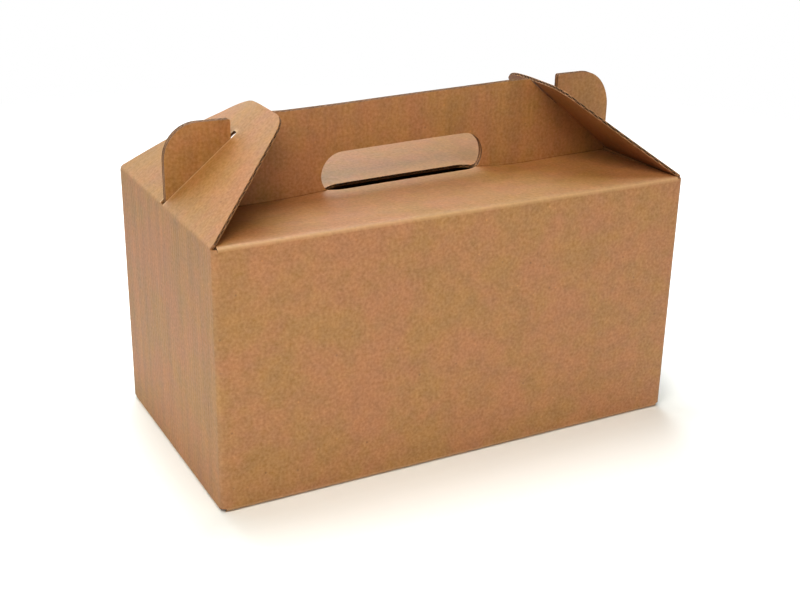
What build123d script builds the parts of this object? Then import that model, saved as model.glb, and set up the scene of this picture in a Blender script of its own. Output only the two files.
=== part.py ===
from build123d import *
import math
import os

# Driving dimensions in millimetres and degrees.
# The box stands on its bottom, with X along its length and Y across it, front at -Y.

# Box body, over the outer faces of the walls
box_length = 300.0
box_width = 160.0
box_height = 154.5

# Corrugated board and its folds
board = 1.8
fold_inner_radius = 0.6
corner_relief = 0.5
fuse_overlap = 1.0
overrun = 5.0

# Glue tab inside the rear right corner
tab_width = 28.0
tab_end_inset = 12.0
tab_slant = 8.0
glue_crush = 0.2
seam_setback = 3.0

# Roof panels, which sink a little towards the handle
roof_sag = 4.0
roof_clearance = 0.3

# Handle panels with their hand hole and ears
handle_rise = 48.0
handle_gap = 0.4
handle_end_clearance = 0.4
hand_hole_length = 108.0
hand_hole_height = 25.0
hand_hole_rise = 6.5
hand_hole_offset = 1.8
hand_hole_roof_reach = 1.5
ear_width = 39.0
ear_rise = 46.0
ear_outer_radius = 20.0
ear_inner_radius = 3.5

# End flaps, leaning in over the ears
flap_lean = 39.0
flap_tip_width = 61.0
flap_bridge = 19.0
flap_corner_radius = 15.0
flap_side_gap = 0.8
crease_clearance = 0.3
rest_clearance = 0.3
slot_clearance = 0.5

# Bottom flaps, which lie in layers from the ground up
layer_gap = 0.3
bottom_chamfer = 25.0
rise_run = 24.0
rise_radius = 50.0
side_flap_reach = 80.0
front_flap_past_centre = 18.0
rear_flap_from_centre = 12.0
tongue_width = 84.0
tongue_rise_start = 4.0
tongue_catch = 20.0
tongue_corner_radius = 12.0
notch_clearance = 2.0

# Sizes that follow from the ones above
half_length = box_length / 2
half_width = box_width / 2
half_board = board / 2
fold_outer_radius = fold_inner_radius + board
fold_middle_radius = fold_inner_radius + half_board
wall_middle_x = half_length - half_board
wall_middle_y = half_width - half_board
handle_middle_y = (handle_gap + board) / 2
handle_outer_y = handle_gap / 2 + board
handle_half_length = half_length - board - handle_end_clearance
ear_inner_x = handle_half_length - ear_width
bottom_half_length = half_length - fold_outer_radius - corner_relief
bottom_half_width = half_width - board - fold_outer_radius - corner_relief

lean = math.radians(flap_lean)
mitre = (math.pi / 2 - lean) / 2


def layer_height(layer):
    """Height of the middle of a bottom layer; layer 0 lies on the ground."""
    return half_board + layer * (board + layer_gap)


def fold_run(slope):
    """Straight length that a square fold takes up when its far side slopes on by an angle."""
    return fold_middle_radius * math.tan((math.pi / 2 + slope) / 2)


def flap_underside_run(height):
    """Distance from the box's end to a flap's underside, at a height above the crease."""
    return board * math.sin(lean) + (height + board * math.cos(lean)) / math.tan(lean)


def flap_underside_height(run):
    """Height of a flap's underside above the crease, at a distance from the box's end."""
    return (run - board * math.sin(lean)) * math.tan(lean) - board * math.cos(lean)


# Where the folds at the top and bottom of the walls begin and end
roof_slope = math.atan2(roof_sag, wall_middle_y - handle_middle_y)
front_flap_slope = math.atan2(layer_height(2) - layer_height(0), rise_run)
tongue_slope = math.atan2(layer_height(3) - layer_height(0), rise_run)
wall_bottom = half_board + fold_run(front_flap_slope)
wall_top = box_height - half_board - fold_run(roof_slope)
ridge_middle = box_height - roof_sag - half_board
handle_bottom = ridge_middle + fold_run(roof_slope)
roof_half_length = half_length - flap_underside_run(roof_clearance)

# The lock in the bottom: the tongue climbs through a notch and lies on the front flap
tongue_rise_end = tongue_rise_start - rise_run
notch_floor = tongue_rise_end - rise_radius * math.tan(tongue_slope / 2) - notch_clearance
tongue_tip = notch_floor - tongue_catch
notch_half_width = tongue_width / 2 + notch_clearance

# The slot reaches from the crease to just past the ear's inner corner, in every position
ear_reach = ear_inner_radius + math.hypot(
    half_length - ear_inner_x - ear_inner_radius, ear_rise - ear_inner_radius
)
slot_length = ear_reach + slot_clearance
slot_half_width = handle_outer_y + slot_clearance
flap_length = slot_length + flap_bridge


def strip(points, radii):
    """Section of a board bent through the points, with a radius for each bend."""
    return trace(FilletPolyline(*points, radius=radii), line_width=board)


def along_x(section, half):
    """Solid with a section drawn in Y and Z, reaching half to each side of the middle."""
    return extrude(Plane.YZ * section, amount=half, both=True)


def along_y(section, half):
    """Solid with a section drawn in X and Z, reaching half to each side of the middle."""
    return extrude(Plane.XZ * section, amount=half, both=True)


def both_ways(shape, plane):
    """A shape together with its mirror image."""
    return shape + mirror(shape, about=plane)


def outline(points, radii=0):
    """Flat face round the points, with rounded corners where a radius is given."""
    return make_face(FilletPolyline(*points, radius=radii, close=True))


def block(low, high):
    """Flat rectangle between two opposite corners."""
    (x0, y0), (x1, y1) = low, high
    return Pos((x0 + x1) / 2, (y0 + y1) / 2) * Rectangle(x1 - x0, y1 - y0)


def symmetric(points):
    """Points on the +X side, in order, followed by their mirror images in reverse."""
    return points + [(-x, y) for x, y in reversed(points)]


def upright(path):
    """Board that stands along a path of straight runs, joined by upright folds."""
    band = strip(path, [fold_middle_radius] * (len(path) - 2))
    return extrude(Pos(Z=wall_bottom) * band, amount=wall_top - wall_bottom)


def wall_wrap():
    """Four walls, from the tab's fold round three more folds to the glued seam."""
    tab_fold_y = half_width - board - fold_outer_radius
    walls = upright(
        [
            (wall_middle_x, tab_fold_y),
            (wall_middle_x, -wall_middle_y),
            (-wall_middle_x, -wall_middle_y),
            (-wall_middle_x, wall_middle_y),
            (half_length - seam_setback, wall_middle_y),
        ]
    )
    return walls + glue_tab(tab_fold_y)


def glue_tab(fold_y):
    """Tab folded from the right wall and glued inside the rear wall, with slanted ends."""
    middle_y = wall_middle_y - board + glue_crush
    fold_x = half_length - fold_outer_radius
    free_x = fold_x - tab_width
    tab = upright([(free_x, middle_y), (wall_middle_x, middle_y), (wall_middle_x, fold_y - fuse_overlap)])
    low_end = [(fold_x, tab_end_inset), (free_x, tab_end_inset + tab_slant)]
    high_end = [(x, box_height - z) for x, z in low_end]
    below = outline(low_end + [(free_x, 0), (fold_x, 0)])
    above = outline(high_end + [(free_x, box_height), (fold_x, box_height)])
    return tab - extrude(Plane.XZ * (below + above), amount=-half_width)


def end_wall_tops():
    """Top strips of the two end walls, mitred at the creases of the end flaps."""
    inner_x = half_length - board
    section = outline(
        [
            (half_length, wall_top - fuse_overlap),
            (half_length, box_height),
            (inner_x, box_height - board * math.tan(mitre)),
            (inner_x, wall_top - fuse_overlap),
        ]
    )
    return both_ways(along_y(section, bottom_half_width), Plane.YZ)


def roof_panels():
    """Two roof panels, each from the top of a long wall to the foot of its handle panel."""
    path = [
        (-wall_middle_y, wall_top - fuse_overlap),
        (-wall_middle_y, box_height - half_board),
        (-handle_middle_y, ridge_middle),
        (-handle_middle_y, handle_bottom + fuse_overlap),
    ]
    front = along_x(strip(path, [fold_middle_radius] * 2), roof_half_length)
    return both_ways(front, Plane.XZ)


def handle_panels():
    """Two upright handle panels, each a grip between two notches and two rounded ears."""
    notch_rise = flap_underside_height(half_length - ear_inner_x) - rest_clearance / math.cos(lean)
    grip_x = ear_inner_x - (handle_rise - notch_rise) / math.tan(lean)
    ear_top = box_height + ear_rise
    corners = symmetric(
        [
            (grip_x, box_height + handle_rise),
            (ear_inner_x, box_height + notch_rise),
            (ear_inner_x, ear_top),
            (handle_half_length, ear_top),
            (handle_half_length, handle_bottom),
        ]
    )
    radii = [0, 0, ear_inner_radius, ear_outer_radius, 0]
    face = outline(corners, radii + radii[::-1])
    front = extrude(Plane.XZ.offset(handle_gap / 2) * face, amount=board)
    return both_ways(front, Plane.XZ)


def hand_hole():
    """Room for the hand: a round-ended hole that runs on past the folds into the roof."""
    centre_z = box_height + hand_hole_rise
    radius = hand_hole_height / 2
    fold_depth = centre_z - ridge_middle
    foot = hand_hole_length / 2 - radius + math.sqrt(max(radius**2 - fold_depth**2, 0))
    slot = Pos(hand_hole_offset, centre_z) * SlotOverall(hand_hole_length, hand_hole_height)
    floor = ridge_middle - board - fold_outer_radius
    foot_gap = block((hand_hole_offset - foot, floor), (hand_hole_offset + foot, centre_z))
    return along_y(slot + foot_gap, handle_outer_y + hand_hole_roof_reach)


def front_bottom_flap():
    """Front bottom flap, which rises over the side flaps and is notched for the tongue."""
    path = [
        (front_flap_past_centre, layer_height(2)),
        (rise_run - wall_middle_y, layer_height(2)),
        (-wall_middle_y, layer_height(0)),
        (-wall_middle_y, wall_bottom + fuse_overlap),
    ]
    sheet = along_x(strip(path, [rise_radius, fold_middle_radius]), bottom_half_length)
    chamfer_start = fold_outer_radius - half_width
    side_x = bottom_half_length - bottom_chamfer
    plan = outline(
        symmetric(
            [
                (bottom_half_length, -half_width - overrun),
                (bottom_half_length, chamfer_start),
                (side_x, chamfer_start + bottom_chamfer),
                (side_x, front_flap_past_centre + overrun),
            ]
        )
    )
    notch = block((-notch_half_width, notch_floor), (notch_half_width, half_width))
    return sheet & extrude(plan - notch, amount=box_height)


def rear_bottom_flap():
    """Rear bottom flap on the ground, with the tongue that locks the bottom."""
    path = [
        (tongue_tip, layer_height(3)),
        (tongue_rise_end, layer_height(3)),
        (tongue_rise_start, layer_height(0)),
        (wall_middle_y, layer_height(0)),
        (wall_middle_y, wall_bottom + fuse_overlap),
    ]
    sheet = along_x(strip(path, [rise_radius, rise_radius, fold_middle_radius]), bottom_half_length)
    chamfer_start = half_width - fold_outer_radius
    side_x = bottom_half_length - bottom_chamfer
    body = outline(
        symmetric(
            [
                (bottom_half_length, half_width + overrun),
                (bottom_half_length, chamfer_start),
                (side_x, chamfer_start - bottom_chamfer),
                (side_x, rear_flap_from_centre),
            ]
        )
    )
    half_tongue = tongue_width / 2
    tongue_corners = symmetric([(half_tongue, half_width), (half_tongue, tongue_tip)])
    tongue = outline(tongue_corners, [0, tongue_corner_radius, tongue_corner_radius, 0])
    return sheet & extrude(body + tongue, amount=box_height)


def side_bottom_flaps():
    """Two side bottom flaps, between the rear flap and the front one."""
    path = [
        (half_length - side_flap_reach, layer_height(1)),
        (wall_middle_x - rise_run, layer_height(1)),
        (wall_middle_x, layer_height(0)),
        (wall_middle_x, wall_bottom + fuse_overlap),
    ]
    sheet = along_y(strip(path, [rise_radius, fold_middle_radius]), bottom_half_width)
    chamfer_start = half_length - fold_outer_radius
    side_y = bottom_half_width - bottom_chamfer
    edge = [
        (half_length + overrun, bottom_half_width),
        (chamfer_start, bottom_half_width),
        (chamfer_start - bottom_chamfer, side_y),
        (half_length - side_flap_reach - overrun, side_y),
    ]
    plan = outline(edge + [(x, -y) for x, y in reversed(edge)])
    return both_ways(sheet & extrude(plan, amount=box_height), Plane.YZ)


def carton():
    """The folded board without its end flaps, as one solid."""
    folded = wall_wrap() + end_wall_tops() + roof_panels() + handle_panels()
    folded -= hand_hole()
    return folded + front_bottom_flap() + rear_bottom_flap() + side_bottom_flaps()


def right_end_flap():
    """Right end flap: a tapered, round-cornered flap, slotted for the ears, at its rest."""
    crease_half = half_width - flap_side_gap
    tip_half = flap_tip_width / 2
    corners = [(0, -crease_half), (flap_length, -tip_half), (flap_length, tip_half), (0, crease_half)]
    face = outline(corners, [0, flap_corner_radius, flap_corner_radius, 0])
    face -= block((-overrun, -slot_half_width), (slot_length, slot_half_width))
    section = outline(
        [
            (crease_clearance, 0),
            (flap_length + overrun, 0),
            (flap_length + overrun, -board),
            (crease_clearance + board * math.tan(mitre), -board),
        ]
    )
    blank = extrude(face, amount=-board)
    flap = blank & along_y(section, half_width)
    lying = Plane(origin=(half_length, 0, box_height), x_dir=(-1, 0, 0), z_dir=(0, 0, 1))
    return lying * Rot(Y=-flap_lean) * flap


right_flap = right_end_flap()
nodes = {
    "carton": carton(),
    "left_end_flap": mirror(right_flap, about=Plane.YZ),
    "right_end_flap": right_flap,
}

os.makedirs("parts", exist_ok=True)
for name, solid in nodes.items():
    export_step(solid, f"parts/{name}.step")
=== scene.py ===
import logging
import math
from dataclasses import dataclass
from enum import Enum
from typing import Any, Callable, Optional, Sequence

import bpy
import numpy as np
from mathutils import Matrix, Vector


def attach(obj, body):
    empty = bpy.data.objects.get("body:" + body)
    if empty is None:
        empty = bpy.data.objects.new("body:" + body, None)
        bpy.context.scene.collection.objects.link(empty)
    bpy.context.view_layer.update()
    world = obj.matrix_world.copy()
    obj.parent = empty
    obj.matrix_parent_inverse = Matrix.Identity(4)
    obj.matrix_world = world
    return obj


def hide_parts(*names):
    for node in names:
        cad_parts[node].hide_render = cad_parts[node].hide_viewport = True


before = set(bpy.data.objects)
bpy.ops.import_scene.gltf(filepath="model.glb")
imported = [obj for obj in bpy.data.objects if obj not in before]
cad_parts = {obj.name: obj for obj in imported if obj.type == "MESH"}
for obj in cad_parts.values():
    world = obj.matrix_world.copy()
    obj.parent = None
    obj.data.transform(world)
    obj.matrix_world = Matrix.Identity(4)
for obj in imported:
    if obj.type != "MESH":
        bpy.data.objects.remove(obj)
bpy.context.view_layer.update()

# Lengths below are in millimetres, in the frame of the CAD model, and become metres in the meshes.
MM = 0.001
UV_NAME = "blank"
LOG = logging.getLogger("carry_box")

Points = np.ndarray
Loop = list[tuple[float, float]]
Warp = Callable[[Points, Points, Points], Points]


class Layer(Enum):
    """The papers that make up a corrugated board, and board that is pressed flat."""

    OUTER = "outer liner"
    MEDIUM = "fluted medium"
    INNER = "inner liner"
    SOLID = "pressed board"
    CORE = "pressed core"


class Skin(Enum):
    """Which material slot a face of the board uses."""

    OUTER = 0
    INNER = 1
    MEDIUM = 2
    EDGE = 3


class Lie(Enum):
    """How a sheet lies: the axes of its bent profile, then the axis that it runs along."""

    PLAN = (0, 1, 2)
    LONG = (1, 2, 0)
    CROSS = (0, 2, 1)


class Side(Enum):
    """The two ends of the box, and the two long sides."""

    LOW = -1
    HIGH = 1


@dataclass(frozen=True)
class Board:
    """Corrugated board: two liners glued to the crests of a waved medium."""

    thickness: float = 1.8
    liner: float = 0.26
    medium: float = 0.26
    pitch: float = 3.5
    steps_per_flute: int = 10

    def span(self, layer: Layer, across: Points) -> tuple[Points, Points]:
        """Depths between which a layer lies.

        Args:
            layer: The paper that is asked for.
            across: Places across the flutes.

        Returns:
            The inner and the outer depth at each place, measured from the board's middle.
        """
        half = self.thickness / 2
        flat = np.zeros_like(across)
        if layer is Layer.OUTER:
            return flat + half - self.liner, flat + half
        if layer is Layer.INNER:
            return flat - half, flat - half + self.liner
        if layer is Layer.SOLID:
            return flat - half, flat + half
        if layer is Layer.CORE:
            return flat - half + self.liner, flat + half - self.liner
        reach = half - self.liner - self.medium / 2
        wave = reach * np.sin(2 * math.pi * across / self.pitch)
        return wave - self.medium / 2, wave + self.medium / 2


@dataclass(frozen=True)
class BoxSizes:
    """Sizes that the panels of the folded box share."""

    length: float = 300.0
    width: float = 160.0
    height: float = 154.5
    wall_bottom: float = 2.685
    wall_top: float = 152.021
    fold_radius: float = 1.5
    bottom_half_length: float = 147.1
    bottom_half_width: float = 75.3
    lean: float = math.radians(39.0)

    def middle(self, extent: float) -> float:
        """Distance from the box's middle to the middle of a wall."""
        return (extent - BOARD.thickness) / 2


BOARD = Board()
BOX = BoxSizes()


@dataclass(frozen=True)
class Run:
    """One straight run or arc of a profile."""

    start: float
    end: float
    origin: tuple[float, float]
    heading: float
    curvature: float


class Profile:
    """Middle line of a bent board, made of straight runs and tangent arcs."""

    fold_limit: float = 10.0
    arc_step: float = math.radians(10.0)
    shortest: float = 1e-6
    digits: int = 6

    def __init__(self, points: Sequence[Sequence[float]], radii: Sequence[float], outer_left: bool) -> None:
        """Lays the runs and arcs end to end.

        Args:
            points: Corners of the line before they are rounded.
            radii: Radius at each corner between the two ends.
            outer_left: Whether the board's outer face is on the left of the line.
        """
        self.sign = 1.0 if outer_left else -1.0
        self.runs: list[Run] = []
        corners = [np.array(p, float) for p in points]
        place = corners[0]
        for i, radius in enumerate(radii, start=1):
            before = corners[i] - corners[i - 1]
            after = corners[i + 1] - corners[i]
            before /= np.linalg.norm(before)
            after /= np.linalg.norm(after)
            turn = math.atan2(before[0] * after[1] - before[1] * after[0], float(before @ after))
            cut = radius * math.tan(abs(turn) / 2)
            heading = math.atan2(before[1], before[0])
            self._add(place, heading, float(np.linalg.norm(corners[i] - cut * before - place)), 0.0)
            bend = math.copysign(1 / radius, turn)
            self._add(corners[i] - cut * before, heading, radius * abs(turn), bend)
            place = corners[i] + cut * after
        last = corners[-1] - place
        self._add(place, math.atan2(last[1], last[0]), float(np.linalg.norm(last)), 0.0)

    def _add(self, origin: Points, heading: float, length: float, curvature: float) -> None:
        """Adds a run after the last one, unless it has no length.

        Args:
            origin: Where the run starts.
            heading: Its direction there.
            length: Its length.
            curvature: One over its radius, or 0 for a straight run.
        """
        if length < self.shortest:
            return
        start = self.runs[-1].end if self.runs else 0.0
        self.runs.append(Run(start, start + length, (origin[0], origin[1]), heading, curvature))

    @property
    def length(self) -> float:
        """Length of the whole line."""
        return self.runs[-1].end

    def arcs(self) -> list[Run]:
        """The tight bends, in order."""
        return [r for r in self.runs if abs(r.curvature) > 1 / self.fold_limit]

    def place(self, along: Points) -> tuple[Points, Points]:
        """Finds points of the line.

        Args:
            along: Distances from the line's start.

        Returns:
            The points and the unit normals towards the outer face.
        """
        spots = np.zeros((len(along), 2))
        turned = np.zeros(len(along))
        for i, run in enumerate(self.runs):
            low = -np.inf if i == 0 else run.start
            high = np.inf if i == len(self.runs) - 1 else run.end
            here = (along >= low) & (along <= high)
            gone = along[here] - run.start
            heading = run.heading + run.curvature * gone
            if run.curvature:
                east = (np.sin(heading) - math.sin(run.heading)) / run.curvature
                north = (math.cos(run.heading) - np.cos(heading)) / run.curvature
            else:
                east = gone * math.cos(run.heading)
                north = gone * math.sin(run.heading)
            spots[here, 0] = run.origin[0] + east
            spots[here, 1] = run.origin[1] + north
            turned[here] = heading
        normals = self.sign * np.stack([-np.sin(turned), np.cos(turned)], axis=1)
        return spots, normals

    def levels(self, step: float) -> list[float]:
        """Finds the distances at which a mesh of this line has vertices, closer in the arcs.

        Args:
            step: Longest distance between them on a straight run.

        Returns:
            The distances in order.
        """
        found: list[float] = []
        for run in self.runs:
            size = run.end - run.start
            turn = abs(run.curvature) * size
            count = math.ceil(turn / self.arc_step) if run.curvature else math.ceil(size / step)
            found.extend(np.linspace(run.start, run.end, max(count, 1) + 1))
        return sorted(set(np.round(found, self.digits)))

    def fold(self, along: Points, spread: float) -> Points:
        """Finds how near each place is to a tight bend.

        Args:
            along: Distances from the line's start.
            spread: How far past a bend its paler rubbed paper, painted highlight and painted shade reach.

        Returns:
            Up to 1 on a ridge, down to -1 in a valley.
        """
        near = np.zeros_like(along)
        for run in self.arcs():
            middle = (run.start + run.end) / 2
            reach = (run.end - run.start) / 2 + spread
            here = np.clip(1 - np.abs(along - middle) / reach, 0, 1)
            near -= math.copysign(1.0, run.curvature * self.sign) * here
        return near


class Triangulator:
    """Cuts a flat outline with holes into triangles, column by column across the flutes."""

    digits: int = 6
    slack: float = 1e-7
    column_room: float = 0.05
    row_room: float = 0.12

    def __init__(self, loops: Sequence[Loop], across: Sequence[float], along: Sequence[float]) -> None:
        """Keeps the outline and the places where vertices are wanted.

        Args:
            loops: Closed outlines; the board lies where an odd number of them surround a point.
            across: Wanted columns.
            along: Wanted rows.
        """
        self.loops = [np.round(np.array(loop, float), self.digits) for loop in loops]
        self.rows = np.array(sorted(along), float)
        ends = np.unique(np.concatenate([loop[:, 0] for loop in self.loops]))
        wanted = np.array(sorted(across), float)
        wanted = wanted[(wanted > ends[0]) & (wanted < ends[-1])]
        if len(wanted):
            gap = np.abs(wanted[:, None] - ends[None, :]).min(axis=1)
            wanted = wanted[gap > self.column_room]
        self.columns = np.unique(np.round(np.concatenate([ends, wanted]), self.digits))

    def _slabs(self) -> list[list[tuple[Points, Points]]]:
        """Sorts the outline's edges into the slabs between neighbouring columns.

        Returns:
            For each slab, the pairs of edges that bound the board from below and from above.
        """
        slabs: list[list[Points]] = [[] for _ in range(len(self.columns) - 1)]
        for loop in self.loops:
            for p, q in zip(loop, np.roll(loop, -1, axis=0)):
                low, high = (p, q) if p[0] < q[0] else (q, p)
                first = int(np.searchsorted(self.columns, low[0] - self.slack))
                last = int(np.searchsorted(self.columns, high[0] - self.slack))
                for column in range(first, last):
                    slabs[column].append(np.array([*low, *high]))
        paired = []
        for column, edges in enumerate(slabs):
            middle = (self.columns[column] + self.columns[column + 1]) / 2
            edges.sort(key=lambda e: self._height(e, middle))
            paired.append(list(zip(edges[0::2], edges[1::2])))
        return paired

    def _height(self, edge: Points, across: float) -> float:
        """Where an edge crosses a column."""
        share = (across - edge[0]) / (edge[2] - edge[0])
        return round(float(edge[1] + share * (edge[3] - edge[1])), self.digits)

    def run(self) -> tuple[Points, Points, Points]:
        """Cuts the outline.

        Returns:
            The vertices, the triangles with their outlines anticlockwise, and the rim's edges.
        """
        slabs = self._slabs()
        marks: list[list[float]] = []
        first: list[int] = []
        total = 0
        for column, across in enumerate(self.columns):
            heights: set[float] = set()
            for pairs in slabs[max(column - 1, 0) : column + 1]:
                for low, high in pairs:
                    heights.update(self._rows(low, high, across))
            marks.append(sorted(heights))
            first.append(total)
            total += len(heights)
        points = np.array([(a, s) for a, column in zip(self.columns, marks) for s in column])
        triangles: list[tuple[int, int, int]] = []
        for column, pairs in enumerate(slabs):
            for low, high in pairs:
                left = self._chain(low, high, column, marks, first)
                right = self._chain(low, high, column + 1, marks, first)
                triangles.extend(self._zip(left, right, points))
        faces = np.array(triangles, int)
        return points, faces, self._rim(faces, total)

    def _rows(self, low: Points, high: Points, across: float) -> list[float]:
        """Finds the heights of the vertices on one column between two edges.

        Args:
            low: The edge below.
            high: The edge above.
            across: Where the column is.

        Returns:
            The heights from the bottom up, or none where an edge does not reach the column.
        """
        if any(not edge[0] - self.slack <= across <= edge[2] + self.slack for edge in (low, high)):
            return []
        bottom = self._height(low, across)
        top = self._height(high, across)
        inside = self.rows[(self.rows > bottom + self.row_room) & (self.rows < top - self.row_room)]
        return [bottom, *np.round(inside, self.digits).tolist(), top]

    def _chain(
        self, low: Points, high: Points, column: int, marks: list[list[float]], first: list[int]
    ) -> list[int]:
        """Finds the vertices of one column between two edges.

        Args:
            low: The edge below.
            high: The edge above.
            column: The column's number.
            marks: Heights of the vertices of each column.
            first: Number of the first vertex of each column.

        Returns:
            The vertices' numbers from the bottom up.
        """
        across = float(self.columns[column])
        bottom = self._height(low, across) - self.slack
        top = self._height(high, across) + self.slack
        return [first[column] + i for i, s in enumerate(marks[column]) if bottom <= s <= top]

    @staticmethod
    def _zip(left: list[int], right: list[int], points: Points) -> list[tuple[int, int, int]]:
        """Joins two upright rows of vertices by triangles.

        Args:
            left: Numbers of the left row's vertices, from the bottom up.
            right: Numbers of the right row's vertices.
            points: Places of all vertices.

        Returns:
            The triangles, anticlockwise.
        """
        made = []
        i = 0
        j = 0
        while i + 1 < len(left) or j + 1 < len(right):
            up_left = points[left[i + 1], 1] if i + 1 < len(left) else math.inf
            up_right = points[right[j + 1], 1] if j + 1 < len(right) else math.inf
            if up_left <= up_right:
                made.append((left[i], right[j], left[i + 1]))
                i += 1
            else:
                made.append((left[i], right[j], right[j + 1]))
                j += 1
        return made

    @staticmethod
    def _rim(faces: Points, total: int) -> Points:
        """Finds the edges that only one triangle has.

        Args:
            faces: The triangles.
            total: How many vertices there are.

        Returns:
            The edges, in the direction of their triangle.
        """
        edges = np.concatenate([faces[:, [0, 1]], faces[:, [1, 2]], faces[:, [2, 0]]])
        forward = edges[:, 0] * total + edges[:, 1]
        backward = edges[:, 1] * total + edges[:, 0]
        return edges[~np.isin(forward, backward)]


def rounded(points: Sequence[Sequence[float]], radii: Sequence[float], step: float = 7.0) -> Loop:
    """Closed outline with rounded corners.

    Args:
        points: Corners before they are rounded.
        radii: Radius at each corner, 0 for a sharp one.
        step: Turn between neighbouring points of an arc, in degrees.

    Returns:
        The outline's points in order.
    """
    found: Loop = []
    corners = [np.array(p, float) for p in points]
    for i, radius in enumerate(radii):
        here = corners[i]
        if radius <= 0:
            found.append((here[0], here[1]))
            continue
        back = corners[i - 1] - here
        ahead = corners[(i + 1) % len(corners)] - here
        back /= np.linalg.norm(back)
        ahead /= np.linalg.norm(ahead)
        half = math.acos(max(-1.0, min(1.0, float(back @ ahead)))) / 2
        inward = back + ahead
        inward /= np.linalg.norm(inward)
        centre = here + inward * radius / math.sin(half)
        start = here + back * radius / math.tan(half) - centre
        end = here + ahead * radius / math.tan(half) - centre
        sweep = math.atan2(start[0] * end[1] - start[1] * end[0], float(start @ end))
        count = max(2, math.ceil(abs(math.degrees(sweep)) / step))
        for turn in np.linspace(0, sweep, count + 1):
            x = start[0] * math.cos(turn) - start[1] * math.sin(turn)
            y = start[0] * math.sin(turn) + start[1] * math.cos(turn)
            found.append((centre[0] + x, centre[1] + y))
    return found


def mirrored(points: Sequence[Sequence[float]]) -> Loop:
    """Points of one half of an outline, followed by their mirror images in reverse."""
    right = [(p[0], p[1]) for p in points]
    return right + [(-x, y) for x, y in reversed(right)]


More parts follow.
